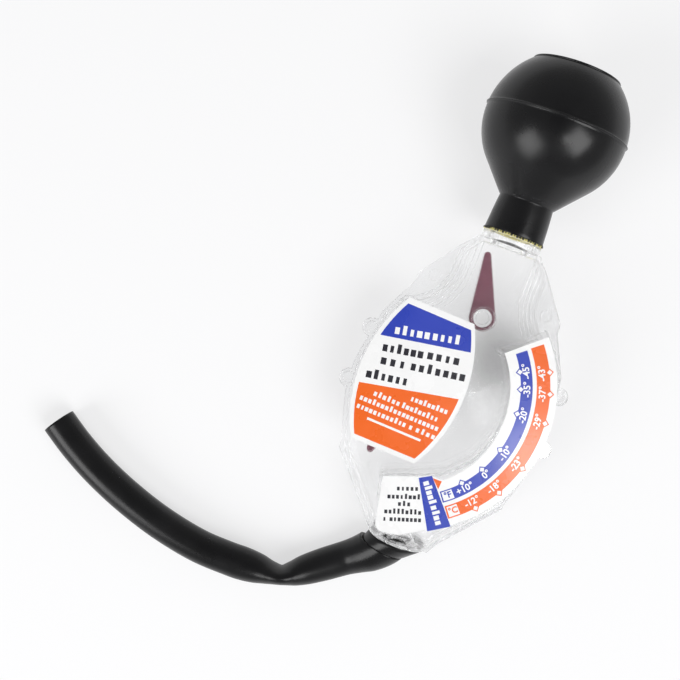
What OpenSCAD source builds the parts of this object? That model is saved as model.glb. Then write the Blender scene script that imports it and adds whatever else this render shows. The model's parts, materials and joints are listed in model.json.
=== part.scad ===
// Dial hydrometer for coolant, lying on a table as it is put down after use.
// A rubber bulb draws coolant through the hose into a flat, clear two-part housing.
// A weighted float pointer turns with the coolant's density, and a light needle
// under the neck shows that enough has been drawn up.
//
// The housing is drawn in its own axes: the dial's centre height is y = 0, +Y runs
// to the bulb, +Z out of the front face, and the weld between both halves is z = 0.
// lay() then rests it on the table on its bulb and on its bottom collar.

/* [Bulb] */
// Outside diameter of the squeeze bulb
bulb_d = 55; // [50:0.5:60]
// Height of the bulb's flat end over its centre
bulb_flat_h = 23; // [20:0.5:25]
// Wall of the bulb
bulb_wall = 2.4; // [1.8:0.2:3.2]
// Diameter of the bulb's neck at its open end
bulb_neck_d = 23; // [22:0.5:26]
// Diameter of the bulb's neck where it meets the bulb
bulb_waist_d = 21.8; // [20.5:0.1:22]
// Length of the bulb's neck
bulb_neck_l = 13.5; // [10:0.5:16]
// Slope of the bulb's shoulder from its axis, in degrees
bulb_shoulder_a = 44; // [40:1:50]
// How far the moulding line stands out
lip_h = 0.5; // [0.2:0.1:0.8]
// Height of the moulding line over the bulb's centre
lip_y = 1.7; // [0:0.1:4]

/* [Neck] */
// Distance from the dial's centre to the top end of the housing
neck_y = 62.5; // [61:0.5:70]
// Diameter of the collar that the bulb is pushed up against
collar_d = 22.8; // [21:0.2:24]
// Length of the collar
collar_l = 3; // [2:0.5:5]
// Outside diameter of the nipple in the bulb's neck
nipple_d = 18; // [16:0.5:18.5]
// Bore of that nipple
nipple_bore = 14; // [10:0.5:14]
// How far the nipple reaches past the seal
nipple_l = 12; // [8:0.5:13]
// Thickness of the seal ring under the bulb
seal_t = 0.8; // [0.5:0.1:1.5]
// Outside diameter of the seal ring
seal_d = 23.2; // [22:0.2:24]

/* [Housing] */
// Half of the thickness between both flat faces
half_t = 9; // [8.5:0.1:10]
// Wall of the housing
wall = 1.8; // [1.4:0.1:2]
// Half of the flange's thickness
flange_t = 1.6; // [1.2:0.1:2]
// Width of the flange round the raised pan
flange_w = 1.6; // [1.4:0.1:2]
// Thickness of the walls inside
rib_t = 1.2; // [0.8:0.1:1.6]
// Number of steps in each shoulder
steps = 4; // [3:1:5]
// Radius of the widest shoulder step
step_r = 22.5; // [21:0.5:23]
// Width of one shoulder step
step_w = 1.7; // [1.4:0.1:2]
// Sideways place of the shoulder steps' centre
step_x = 34.5; // [34:0.5:36]
// Height of the shoulder steps' centre over the dial's centre
step_y = 48; // [46:0.5:50]
// How far the four lugs stand out from the middle, upper pair
upper_lug_x = 41.5; // [40.5:0.1:43]
// The same for the lower pair
lower_lug_x = 43; // [42:0.1:45]
// Width of a lug along the housing
lug_w = 7; // [5:0.5:8]

/* [Outlet] */
// Distance from the dial's centre to the bottom collar's end face
foot_y = 58.5; // [58:0.5:60]
// Diameter of the bottom collar
foot_d = 22.6; // [22:0.2:24]
// Length of the bottom collar
foot_l = 1.5; // [1:0.1:3]
// Slant of the bottom nipple, in degrees
outlet_a = 25; // [15:1:28]
// Length of the bottom nipple
outlet_l = 3.8; // [3:0.1:4]
// Root diameter of the bottom nipple
outlet_root_d = 12.4; // [11.4:0.2:13]
// End diameter of the bottom nipple
outlet_end_d = 9.6; // [9:0.2:10]
// Bore of the bottom nipple
outlet_bore = 7.2; // [5:0.2:7.6]

/* [Dial] */
// Sideways place of the dial's centre
dial_x = -16.6; // [-17.5:0.1:-16]
// Radius of the chamber's curved wall
chamber_r = 36.1; // [35:0.1:36.5]
// Reach of the float pointer's tip
pointer_l = 30.2; // [28:0.1:31]
// Radius of the float pointer's tip
pointer_tip_r = 1.3; // [1:0.1:2]
// Radius of the float pointer's hub
pointer_hub_r = 6; // [5:0.1:7]
// Thickness of the float pointer's blade
pointer_t = 3; // [2:0.1:4]
// Length of the float pointer's hub along the axle
hub_l = 4.2; // [3.6:0.1:5]
// Rest direction of the float pointer, counted from +X
pointer_rest_a = -101; // [-104:1:-95]
// Lowest direction that the lower stop peg lets it reach
pointer_low_a = -107; // [-108:1:-105]
// Highest direction that the upper stop peg lets it reach
pointer_high_a = 35; // [30:1:36]
// Distance of the stop pegs from the dial's centre
peg_place_r = 24; // [23:0.5:25]
// Radius of a stop peg
peg_r = 1.2; // [0.8:0.1:1.3]
// Distance of the weight from the axle
weight_place = 7.6; // [7:0.1:9]
// Diameter of the weight
weight_d = 5; // [4:0.5:6]
// Diameter of the axle pin
axle_d = 1.6; // [1.2:0.1:2]
// Length of the axle pin
axle_l = 13; // [11:0.5:14]
// Diameter of the axle's bosses
boss_d = 6; // [5:0.5:8]

/* [Level needle] */
// Height of the level needle's pivot over the dial's centre
needle_y = 33.5; // [33:0.1:34]
// Reach of the level needle's tip
needle_l = 25; // [22:0.5:25]
// Radius of the level needle's round end
needle_hub_r = 4.95; // [4.8:0.05:5.5]
// Radius of the level needle's tip
needle_tip_r = 1.2; // [1:0.1:2]
// Thickness of the level needle
needle_t = 2; // [1.6:0.1:2.4]
// Diameter of the post that the level needle turns on
post_d = 6.94; // [6:0.02:7.2]
// Diameter of the spigot that ties both halves inside the post
spigot_d = 5; // [4:0.1:5.2]
// Lean of the level needle at rest, to the left of the middle
needle_rest_a = 16; // [10:1:20]

/* [Labels] */
// Thickness of the labels
label_t = 0.15; // [0.1:0.05:0.3]
// Half of the front label's height
front_half_h = 28.6; // [26:0.1:29]
// Half of the front label's greatest width
front_half_w = 20.4; // [19:0.1:20.4]
// Radius of the front label's bulging sides
front_side_r = 59; // [50:1:70]
// Inner radius of the scale label
scale_in_r = 37.2; // [37:0.1:38]
// Outer radius of the scale label
scale_out_r = 54.5; // [52:0.1:54.5]
// Upper end of the scale label, in degrees
scale_top_a = 41; // [38:1:41]
// Height of the pad under the scale label
pad_t = 0.3; // [0.2:0.05:0.5]

/* [Hose] */
// Wall of the hose
hose_wall = 2.2; // [1.6:0.1:2.4]
// Length of the hose's widened end from the collar to the fold
fold_l = 4.9; // [4.7:0.1:5.2]
// Sideways place of the fold
fold_x = 4; // [3.5:0.1:4.5]
// Radius of the hose's widened end at the fold
fold_r = 8.7; // [8.4:0.1:9]
// Radius of the hose's widened end on the collar
cuff_r = 10.75; // [10.5:0.05:11]

/* [Fits] */
// Radial clearance of the needle and of the pointer on their pivots
pivot_gap = 0.08; // [0.05:0.01:0.1]
// Gap between a moving piece and the boss beside it
side_gap = 0.15; // [0.1:0.05:0.3]
// Gap round a push fit between two held pieces
seat_gap = 0.05; // [0.02:0.01:0.1]

/* [Hidden] */
$fn = 64;
bulb_r = bulb_d / 2;
waist_r = bulb_waist_d / 2;
seal_y = neck_y + collar_l;
bulb_y0 = seal_y + seal_t;
// The shoulder is a cone that touches the bulb's sphere
bulb_rise = (bulb_r - waist_r * cos(bulb_shoulder_a)) / sin(bulb_shoulder_a);
bulb_zc = bulb_neck_l + bulb_rise;
bulb_yc = bulb_y0 + bulb_zc;
flat_r = sqrt(pow(bulb_r, 2) - pow(bulb_flat_h, 2));

// Resting on the bulb's moulding line and on the bottom collar's edge
tilt = atan((bulb_r + lip_h - foot_d / 2) / (bulb_yc + lip_y + foot_y));
dial_z = foot_y * sin(tilt) + foot_d / 2 * cos(tilt);

// The fold where the widened end of the hose turns away from the collar
fold = [-fold_x, -foot_y - fold_l];
fold_a = 6;
end_y = -(-fold[1] * cos(tilt) + fold_r * sin(tilt));
top_y = (bulb_yc + bulb_flat_h) * cos(tilt) + flat_r * sin(tilt);
mid_y = (top_y + end_y) / 2;

// Half of the housing's outline, from the neck down, as [half width, height]
outline = [
    [12, neck_y],
    [17.5, 56.4],
    [28.5, 41.4],
    [28.8, 37.6],
    [36.2, 22.6],
    [39.8, 1],
    [38.8, -11.3],
    [33.8, -29],
    [33.4, -32],
    [15.2, -53.5],
    [12.4, foot_l - foot_y]
];
last = len(outline) - 1;

dial = [dial_x, 0];
needle_pivot = [0, needle_y];
inner_top = half_t - wall;
needle_hole_r = post_d / 2 + pivot_gap;
peg_lean = asin((pointer_hub_r - pointer_tip_r) / (pointer_l - pointer_tip_r));
peg_a = asin((pointer_hub_r + peg_r + side_gap) / peg_place_r) - peg_lean;
lobe_r = weight_d / 2 + 1.6;
front_label_mid = [dial_x - 0.3, 2.5];
front_label_turn = -2.2;

// Corners of the scale label's foot, from its inner arc round to its outer arc
scale_foot = [
    [2.4, -28.4],
    [-1.9, -30.4],
    [-14.5, -35],
    [-11.8, -47.7],
    [-10.6, -53.8],
    [-9.2, -55],
    [-6.9, -55.3],
    [-0.8, -54.2]
];
scale_foot_mid = [-6, -42];

// Colours as the object shows them
clear = [0.9, 0.92, 0.93, 0.4];
black = [0.06, 0.06, 0.06];
maroon = [0.38, 0.12, 0.22];

// Route of the free hose on the table, relative to the dial's centre line.
// Each point is [x, y, height, half width, half height].
route = [
    [-7.8, -66.4, 9.4, 8, 8],
    [-11.8, -69.8, 8, 7.1, 7.4],
    [-15.9, -73, 7, 6.6, 6.8],
    [-22.5, -78, 6.7, 6.4, 6.6],
    [-28.6, -82.6, 6.7, 5.8, 6.7],
    [-32.9, -85.7, 7.2, 4.7, 7.2],
    [-36.8, -87.6, 7.9, 3.6, 7.8],
    [-41.2, -88.4, 7.4, 4.4, 7.3],
    [-46.4, -88.7, 6.8, 5.8, 6.7],
    [-52.5, -89, 6.5, 6.5, 6.5],
    [-58.8, -89.1, 6.5, 6.5, 6.5],
    [-70.1, -88.7, 6.5, 6.5, 6.5],
    [-81.9, -86.8, 6.5, 6.5, 6.5],
    [-94.2, -83.7, 6.5, 6.5, 6.5],
    [-107.6, -79.1, 6.5, 6.5, 6.5],
    [-119.8, -73.8, 6.5, 6.5, 6.5],
    [-130.6, -67.9, 6.5, 6.5, 6.5],
    [-139.9, -61.8, 6.5, 6.5, 6.5]
];

// Helpers on points

function unit(v) = v / norm(v);
function polar(c, r, a) = [c[0] + r * cos(a), c[1] + r * sin(a)];
function arc(c, r, a0, a1, n) = [for (i = [0:n]) polar(c, r, a0 + (a1 - a0) * i / n)];
function mirrored(p) = [for (i = [len(p) - 1:-1:0]) [-p[i][0], p[i][1]]];
function right_of(a, b) = let (d = unit(b - a)) [d[1], -d[0]];

// A closed outline, given clockwise, moved inwards by d
function inset(p, d) = [
    for (i = [0:len(p) - 1])
        let (
            n1 = right_of(p[(i + len(p) - 1) % len(p)], p[i]),
            n2 = right_of(p[i], p[(i + 1) % len(p)])
        )
        p[i] + d * (n1 + n2) / (1 + n1 * n2)
];

// A band of width t along a line of points
function band_side(p, i) = right_of(p[max(i - 1, 0)], p[min(i + 1, len(p) - 1)]);
function band(p, t) = concat(
    [for (i = [0:len(p) - 1]) p[i] + band_side(p, i) * t / 2],
    [for (i = [len(p) - 1:-1:0]) p[i] - band_side(p, i) * t / 2]
);

// Round end, straight sides and round tip, along +Y
function teardrop(r1, r2, reach) =
    let (d = reach - r2, a = asin((r1 - r2) / d))
    concat(
        arc([0, 0], r1, 180 - a, 360 + a, 28),
        arc([0, d], r2, a, 180 - a, 12)
    );

// Places

module lay() translate([0, -mid_y, dial_z]) rotate([tilt, 0, 0]) children();
module at(p) translate([p[0], p[1], 0]) children();
module up_axis(y) translate([0, y, 0]) rotate([-90, 0, 0]) children();
module front_half() intersection() {
    children();
    translate([-100, -100, 0]) cube([200, 260, 60]);
}
module both_sides() {
    children();
    mirror([1, 0, 0]) children();
}

// Housing

function whole(p) = concat(p, mirrored(p));

// The pan keeps its full length at both ends, where the collars join it
function pan_outline() = [
    for (i = [0:last])
        i == 0 ? outline[0] + [0, flange_w] : (i == last ? outline[last] - [0, flange_w] : outline[i])
];
function pan(d) = inset(whole(pan_outline()), flange_w + d);

function shoulder_cut(r) = concat(
    [[step_x - r, neck_y + 12]],
    arc([step_x, step_y], r, 180, 290, 22),
    [[step_x + 30, step_y - r * cos(20)], [step_x + 30, neck_y + 12]]
);

module shoulder_cuts(d) both_sides() for (i = [0:steps - 1])
    let (z = i == steps - 1 && d > 0 ? -1 : half_t - (i + 1) * (half_t - flange_t) / steps - d)
    translate([0, 0, z]) linear_extrude(half_t + 5) polygon(shoulder_cut(step_r - i * step_w + d));

function front_label_outline(d) =
    let (
        w = front_half_w + d,
        h = front_half_h + d,
        r = front_side_r,
        a = asin(h / r)
    )
    concat(arc([w - r, 0], r, a, -a, 14), arc([r - w, 0], r, 180 + a, 180 - a, 14));

module at_front_label() at(front_label_mid) rotate([0, 0, front_label_turn]) children();

// The scale label's foot is grown or shrunk away from its own middle
function scale_outline(d) = concat(
    arc(dial, scale_in_r - d, scale_top_a + d, -50, 24),
    [for (p = scale_foot) p + d * [sign(p[0] - scale_foot_mid[0]), sign(p[1] - scale_foot_mid[1])]],
    arc(dial, scale_out_r + d, -64, scale_top_a + d, 28)
);

// A wider shelf shows beside the upper end of the scale label
function pad_outline() = concat(
    arc(dial, scale_in_r - 1.9, scale_top_a + 2.4, 14, 10),
    arc(dial, scale_out_r + 0.2, 14, scale_top_a + 2.4, 10)
);

// The raised part, or, with d above zero, the space inside it
module raised(d, lands) {
    difference() {
        linear_extrude(half_t - d) polygon(pan(d));
        shoulder_cuts(d);
    }
    if (lands) intersection() {
        linear_extrude(half_t + 1) polygon(pan(d));
        union() {
            at_front_label() linear_extrude(half_t - d) polygon(front_label_outline(0.25 - d));
            linear_extrude(half_t + (d > 0 ? -d : pad_t)) polygon(scale_outline(0.2 - d));
            if (d == 0) linear_extrude(half_t + pad_t) polygon(pad_outline());
        }
    }
}

// Walls that part the chamber from the dry space under the scale
module inner_walls() linear_extrude(half_t) {
    polygon(band([[22, 34.2], polar(dial, chamber_r - 1, scale_top_a + 1)], rib_t));
    polygon(band(concat(
        arc(dial, chamber_r + rib_t / 2, scale_top_a, -30, 24),
        [[12.2, -21.4], [8.8, -25], [5.6, -27.3], [0.7, -29.5], [-5.8, -32], [-12.6, -34.6]],
        [[-14.2, -35.8], [-14.4, -37.8], [-12.9, -43], [-6, -49.5], [3, -52.5], [6, -56]]
    ), rib_t));
}

// Posts and bosses in one half, seen from its own weld plane
module bosses() {
    at(dial) translate([0, 0, hub_l / 2 + side_gap]) cylinder(h = half_t, d = boss_d);
    at(needle_pivot) translate([0, 0, needle_t / 2 + side_gap])
        cylinder(h = half_t, r1 = needle_hub_r - 0.9, r2 = needle_hub_r - 0.3);
}

module neck_half() {
    up_axis(neck_y) cylinder(h = collar_l, d = collar_d);
    up_axis(neck_y - 2) cylinder(h = 2 + collar_l + seal_t + nipple_l, d = nipple_d);
}

module foot_half() {
    up_axis(-foot_y) cylinder(h = foot_l, d = foot_d);
    outlet() cylinder(h = outlet_l, d1 = outlet_root_d, d2 = outlet_end_d);
}

// The bottom nipple's own axis, from the bottom collar's middle
module outlet() translate([0, -foot_y, 0]) rotate([0, 0, -outlet_a]) rotate([90, 0, 0]) children();

module lug(x, y) translate([0, y, 0]) {
    linear_extrude(flange_t) union() {
        translate([x - 12, -lug_w / 2]) square([12 - lug_w / 2, lug_w]);
        translate([x - lug_w / 2, 0]) circle(d = lug_w);
    }
    translate([x - lug_w / 2, 0, 0]) cylinder(h = flange_t + 0.5, d = lug_w - 2.6);
}

// One half of the housing without what only the front or the rear has
module shell_half(lands) difference() {
    union() {
        linear_extrude(flange_t) polygon(whole(outline));
        both_sides() {
            lug(upper_lug_x, 15.6);
            lug(lower_lug_x, -5.6);
            translate([22.5, 42.4, 0]) cylinder(h = flange_t + 0.5, d = 4.2);
        }
        raised(0, lands);
        front_half() neck_half();
        front_half() foot_half();
    }
    difference() {
        translate([0, 0, -0.5]) linear_extrude(0.5) polygon(pan(wall));
        inner_walls();
    }
    difference() {
        raised(wall, lands);
        inner_walls();
        bosses();
    }
    up_axis(neck_y - 4) cylinder(h = 40, d = nipple_bore);
    outlet() translate([0, 0, -5]) cylinder(h = outlet_l + 10, d = outlet_bore);
    at(dial) cylinder(h = axle_l / 2, d = axle_d);
}

module front_shell() color(clear) lay() {
    difference() {
        shell_half(true);
        translate([6.6, 44.5, half_t - 0.6]) cylinder(h = 2, d = 6);
    }
    translate([7.2, 43.9, half_t - 1]) cylinder(h = 0.8, d = 1.8);
    at(needle_pivot) translate([0, 0, -needle_t / 2 - 0.8])
        cylinder(h = needle_t + half_t - wall, d = spigot_d - 2 * seat_gap);
}

module rear_shell() color(clear) lay() mirror([0, 0, 1]) {
    difference() {
        union() {
            shell_half(false);
            at(needle_pivot) translate([0, 0, -needle_t / 2 - side_gap + seat_gap])
                cylinder(h = inner_top + needle_t / 2 + 1, d = post_d);
            for (a = [pointer_low_a - peg_a, pointer_high_a + peg_a])
                at(polar(dial, peg_place_r, a)) translate([0, 0, 0.2]) cylinder(h = inner_top + 0.2, r = peg_r);
            translate([0, 0, inner_top - 2.5]) linear_extrude(2.8)
                polygon(band([[-20, -36.2], [-16.2, -40.5], [-12, -46.5]], 1));
        }
        at(needle_pivot) translate([0, 0, -half_t]) cylinder(h = half_t + needle_t / 2 + 1, d = spigot_d);
    }
}

// Rubber and seal

function bulb_outside() = concat(
    [[bulb_neck_d / 2, 0], [waist_r, bulb_neck_l]],
    arc([0, bulb_zc], bulb_r, -bulb_shoulder_a, asin(lip_y / bulb_r) - 1.2, 9),
    [[bulb_r + lip_h, bulb_zc + lip_y - 0.3], [bulb_r + lip_h, bulb_zc + lip_y + 0.3]],
    arc([0, bulb_zc], bulb_r, asin(lip_y / bulb_r) + 1.2, asin(bulb_flat_h / bulb_r), 11)
);
function bulb_inside() =
    let (r = bulb_r - bulb_wall, neck_r = nipple_d / 2 + seat_gap)
    concat(
        [[0, bulb_zc + bulb_flat_h], [0, bulb_zc + bulb_flat_h - bulb_wall]],
        arc([0, bulb_zc], r, asin((bulb_flat_h - bulb_wall) / r), -acos(neck_r / r), 18),
        [[neck_r, 0]]
    );

module squeeze_bulb() color(black) lay() up_axis(bulb_y0)
    rotate_extrude() polygon(concat(bulb_outside(), bulb_inside()));

module neck_seal() color([0.85, 0.8, 0.45]) lay() up_axis(seal_y) difference() {
    cylinder(h = seal_t, d = seal_d);
    translate([0, 0, -1]) cylinder(h = seal_t + 2, d = nipple_d + 2 * seat_gap);
}

// A disc of the hose's widened end, on the collar or at the fold
module cuff_disc(r, at_fold, h) {
    if (at_fold)
        translate([fold[0], fold[1], 0]) rotate([0, 0, -fold_a]) rotate([-90, 0, 0]) cylinder(h = h, r = r, $fn = 32);
    else
        translate([0, -foot_y, 0]) rotate([90, 0, 0]) cylinder(h = h, r = r, $fn = 32);
}

module hose_cuff() color(black) lay() difference() {
    hull() {
        cuff_disc(cuff_r, false, 0.2);
        cuff_disc(fold_r, true, 0.2);
    }
    outlet() translate([0, 0, -1]) cylinder(
        h = outlet_l + 1,
        d1 = outlet_root_d + 2 * seat_gap + (outlet_root_d - outlet_end_d) / outlet_l,
        d2 = outlet_end_d + 2 * seat_gap
    );
    hull() {
        outlet() translate([0, 0, outlet_l - 1]) cylinder(h = 0.9, d = outlet_end_d - 0.4, $fn = 32);
        translate([0, -0.2, 0]) cuff_disc(fold_r - hose_wall, true, 0.3);
    }
}

// Hose: rings across the route, round the bore as well

function laid(p) = [
    p[0],
    p[1] * cos(tilt) - p[2] * sin(tilt) - mid_y,
    p[1] * sin(tilt) + p[2] * cos(tilt) + dial_z
];
first_ring = laid([fold[0], fold[1], 0]) + [0, mid_y, 0];
hose_path = concat([first_ring], [for (p = route) [p[0], p[1], p[2]]]);
hose_size = concat([[fold_r, fold_r]], [for (p = route) [p[3], p[4]]]);
hose_n = len(hose_path);
sides = 12;

function heading(i) = i == 0
    ? [-sin(fold_a), -cos(fold_a) * cos(tilt), -cos(fold_a) * sin(tilt)]
    : unit(hose_path[min(i + 1, hose_n - 1)] - hose_path[i - 1]);
function across(i) = unit(cross(heading(i), [0, 0, 1]));
function ring(i, in) =
    let (s = across(i), u = cross(s, heading(i)), w = hose_size[i][0] - in, h = hose_size[i][1] - in)
    [for (k = [0:sides - 1]) hose_path[i] + [0, -mid_y, 0] + s * w * cos(k * 360 / sides) + u * h * sin(k * 360 / sides)];

function quad(a, b, c, d) = [[a, b, c], [a, c, d]];
function flat(l) = [for (a = l) for (b = a) b];

module pickup_hose() {
    points = concat(
        flat([for (i = [0:hose_n - 1]) ring(i, 0)]),
        flat([for (i = [0:hose_n - 1]) ring(i, hose_wall)])
    );
    inner = hose_n * sides;
    end = (hose_n - 1) * sides;
    faces = flat([
        for (k = [0:sides - 1])
            let (n = (k + 1) % sides)
            concat(
                flat([for (i = [0:hose_n - 2]) let (b = i * sides) quad(b + k, b + n, b + sides + n, b + sides + k)]),
                flat([
                    for (i = [0:hose_n - 2])
                        let (b = inner + i * sides)
                        quad(b + n, b + k, b + sides + k, b + sides + n)
                ]),
                quad(n, k, inner + k, inner + n),
                quad(end + k, end + n, inner + end + n, inner + end + k)
            )
    ]);
    color(black) polyhedron(points, faces);
}

// Moving pieces

module in_rest(p, a) lay() at(p) rotate([0, 0, a]) children();

module float_pointer() color(maroon) in_rest(dial, pointer_rest_a - 90) difference() {
    union() {
        translate([0, 0, -pointer_t / 2]) linear_extrude(pointer_t)
            polygon(teardrop(pointer_hub_r, pointer_tip_r, pointer_l));
        translate([0, -weight_place, -pointer_t / 2]) cylinder(h = pointer_t, r = lobe_r);
        translate([0, 0, -hub_l / 2]) cylinder(h = hub_l, d = boss_d - 1);
    }
    translate([0, 0, -half_t]) cylinder(h = 2 * half_t, d = axle_d + 2 * pivot_gap);
    translate([0, -weight_place, -half_t]) cylinder(h = 2 * half_t, d = weight_d);
}

module pointer_weight() color("goldenrod") in_rest(dial, pointer_rest_a - 90)
    translate([0, -weight_place, -pointer_t / 2]) cylinder(h = pointer_t, d = weight_d);

module pointer_axle() color("silver") in_rest(dial, 0)
    translate([0, 0, -axle_l / 2]) cylinder(h = axle_l, d = axle_d);

module level_needle() color(maroon) in_rest(needle_pivot, needle_rest_a) difference() {
    translate([0, 0, -needle_t / 2]) linear_extrude(needle_t)
        polygon(teardrop(needle_hub_r, needle_tip_r, needle_l));
    translate([0, 0, -half_t]) cylinder(h = 2 * half_t, r = needle_hole_r);
}

// Labels

module front_label() color("white") lay() at_front_label()
    translate([0, 0, half_t]) linear_extrude(label_t) polygon(front_label_outline(0));

module scale_label() color([0.3, 0.33, 0.72]) lay()
    translate([0, 0, half_t + pad_t]) linear_extrude(label_t) polygon(scale_outline(0));

front_shell();
rear_shell();
squeeze_bulb();
neck_seal();
hose_cuff();
pickup_hose();
float_pointer();
pointer_weight();
pointer_axle();
level_needle();
front_label();
scale_label();
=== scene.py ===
"""Finishes, rubber parts, printed labels, hose and studio of a dial hydrometer for coolant."""

import json
import math

import bmesh
import bpy
from bpy.props import FloatProperty, FloatVectorProperty, IntProperty, PointerProperty
from mathutils import Matrix, Vector


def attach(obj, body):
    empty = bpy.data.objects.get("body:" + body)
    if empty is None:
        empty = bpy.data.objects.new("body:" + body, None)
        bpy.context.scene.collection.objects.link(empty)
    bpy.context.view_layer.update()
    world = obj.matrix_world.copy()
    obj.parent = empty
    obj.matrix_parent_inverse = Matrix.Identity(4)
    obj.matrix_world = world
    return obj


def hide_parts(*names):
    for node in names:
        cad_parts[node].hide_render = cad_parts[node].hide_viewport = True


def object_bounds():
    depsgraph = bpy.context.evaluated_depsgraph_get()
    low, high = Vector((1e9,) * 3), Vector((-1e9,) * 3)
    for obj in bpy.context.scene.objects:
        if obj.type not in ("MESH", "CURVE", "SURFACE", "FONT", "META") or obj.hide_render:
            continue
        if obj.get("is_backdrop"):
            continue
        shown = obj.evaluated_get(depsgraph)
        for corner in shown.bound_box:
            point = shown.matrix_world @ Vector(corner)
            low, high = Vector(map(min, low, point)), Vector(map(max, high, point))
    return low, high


bl_info = {
    "name": "Dial Hydrometer",
    "version": (1, 0, 0),
    "blender": (4, 5, 0),
    "location": "View3D > Sidebar > Hydrometer",
    "description": "Dresses the clear housing, needles, labels, bulb and hose of a dial hydrometer",
    "category": "Add Mesh",
}

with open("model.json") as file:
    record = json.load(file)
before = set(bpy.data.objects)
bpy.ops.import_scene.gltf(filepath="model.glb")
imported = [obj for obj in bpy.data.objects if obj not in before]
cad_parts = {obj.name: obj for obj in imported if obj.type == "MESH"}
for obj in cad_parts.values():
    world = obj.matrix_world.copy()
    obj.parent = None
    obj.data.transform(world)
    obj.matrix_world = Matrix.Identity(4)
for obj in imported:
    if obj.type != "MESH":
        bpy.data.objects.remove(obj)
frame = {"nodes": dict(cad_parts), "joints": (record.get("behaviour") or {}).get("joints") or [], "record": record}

# Axes of the housing, counted in millimetres from its middle line at the dial's height, in the weld plane
mm = 0.001
UP = Vector((0, 0, 1))
DIAL_JOINT = next(joint for joint in frame["joints"] if joint["name"] == "pointer_turn")
DIAL = Vector(DIAL_JOINT["pos_m"])
DIAL_X = DIAL.x / mm
OUT = Vector(DIAL_JOINT["axis"]).normalized()
ACROSS = Vector((1, 0, 0))
ALONG = OUT.cross(ACROSS).normalized()
MIDDLE = Vector((0, DIAL.y, DIAL.z))
AXES = Matrix((ACROSS, ALONG, OUT)).transposed().to_4x4()
LAY = Matrix.Translation(MIDDLE) @ AXES @ Matrix.Scale(mm, 4)

# Levels over the weld plane: the housing's face, the tops of both labels, and how thick and deep print is
BACK = next(mount for mount in frame["record"]["mounts"] if mount["name"] == "housing_back")
FACE = -(Vector(BACK["pos_m"]) - MIDDLE).dot(OUT) / mm
LABEL = 0.15
SCALE_STEP = 0.3
FRONT_TOP = FACE + LABEL
SCALE_TOP = FACE + SCALE_STEP + LABEL
INK = 0.02
SUNK = 0.01

# Places along the housing: top of the seal, its glue, the foot, and the fold that the hose leaves from
SEAL_TOP = 66.3
GLUE_LINE = SEAL_TOP - 0.25
FOOT = -58.5
FOLD = (-4.0, FOOT - 4.9, 0)

# Turn of the hose at the fold, and half its width there
FOLD_TURN = math.radians(6)
CUFF_END = 8.7

# Points round the bulb, round the hose, steps between the rows of its route, and steps until it runs free
BULB_SIDES = 128
HOSE_SIDES = 48
ROUTE_STEPS = 8
EASED_STEPS = 10

# Rows of the free hose as it lies: x, y from the dial's line, height, half width, half height
HOSE_ROUTE = [
    (-7.8, -66.4, 9.4, 8, 8),
    (-11.8, -69.8, 8, 7.1, 7.4),
    (-15.9, -73, 7, 6.6, 6.8),
    (-22.5, -78, 6.7, 6.4, 6.6),
    (-28.6, -82.6, 6.7, 5.8, 6.7),
    (-32.9, -85.7, 7.2, 4.7, 7.2),
    (-36.8, -87.6, 7.9, 3.6, 7.8),
    (-41.2, -88.4, 7.4, 4.4, 7.3),
    (-46.4, -88.7, 6.8, 5.8, 6.7),
    (-52.5, -89, 6.5, 6.5, 6.5),
    (-58.8, -89.1, 6.5, 6.5, 6.5),
    (-70.1, -88.7, 6.5, 6.5, 6.5),
    (-81.9, -86.8, 6.5, 6.5, 6.5),
    (-94.2, -83.7, 6.5, 6.5, 6.5),
    (-107.6, -79.1, 6.5, 6.5, 6.5),
    (-119.8, -73.8, 6.5, 6.5, 6.5),
    (-130.6, -67.9, 6.5, 6.5, 6.5),
    (-139.9, -61.8, 6.5, 6.5, 6.5),
]

# Middle of the painted shadow in the chamber, middle of the painted shade below the collar, and its depth
PAINTED_SHADOW_SPOT = LAY @ Vector((13.9, 20.8, -6))
PAINTED_BOW_MIDDLE = LAY @ Vector((-1, 62.7, 9))
PAINTED_BOW_DARKNESS = 0.97

# Clear plastic: how far it bends light, and the share of its surface that only lets light pass
CLEAR_IOR = 1.38
PASSING_SHARE = 0.28
PASSING_TINT = (0.995, 0.995, 0.996)

# Front label: half width, radius of its bowed sides, its middle from the dial, and its turn
FRONT_HALF = 20.4
FRONT_BOW = 59
FRONT_X = DIAL_X - 0.3
FRONT_Y = 2.5
FRONT_TURN = math.radians(-2.2)

# Bands of the scale about the dial's centre: inner and outer radius, first and last angle in degrees
BLUE_BAND = (41, 45.4, 38.6, -53.7)
ORANGE_BAND = (46.9, 51.9, 38.9, -53.4)

# Marks of the scale: direction from the dial's centre in degrees, and the number printed there
FAHRENHEIT = ((28.9, "-45°"), (19.8, "-35°"), (6.8, "-20°"), (-14.3, "-10°"), (-28.4, "0°"), (-41.2, "+10°"))
CELSIUS = ((27, "-43°"), (17.9, "-37°"), (5.6, "-29°"), (-15.4, "-23°"), (-29.4, "-18°"), (-41.1, "-12°"))

# Radii of both rows of numbers, the size of a text whose digits are 1 high, and how much bolder it is
BLUE_NUMBERS = 43.4
ORANGE_NUMBERS = 49.1
TEXT_SIZE = 1.4
BOLDER = 0.025

# Band of each unit box: radius of its middle and half its depth; all share one direction
BLUE_UNIT = (43.2, 1.75)
ORANGE_UNIT = (49.4, 2)
UNIT_ANGLE = -50.3
UNIT_SIZE = 3.3

# Plain blocks that stand for words: width and height, in parts of the row's height
BLOCKS = ((0.5, 0.72), (0.58, 0.72), (0.36, 0.72), (0.42, 1), (0.54, 0.72))

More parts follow.
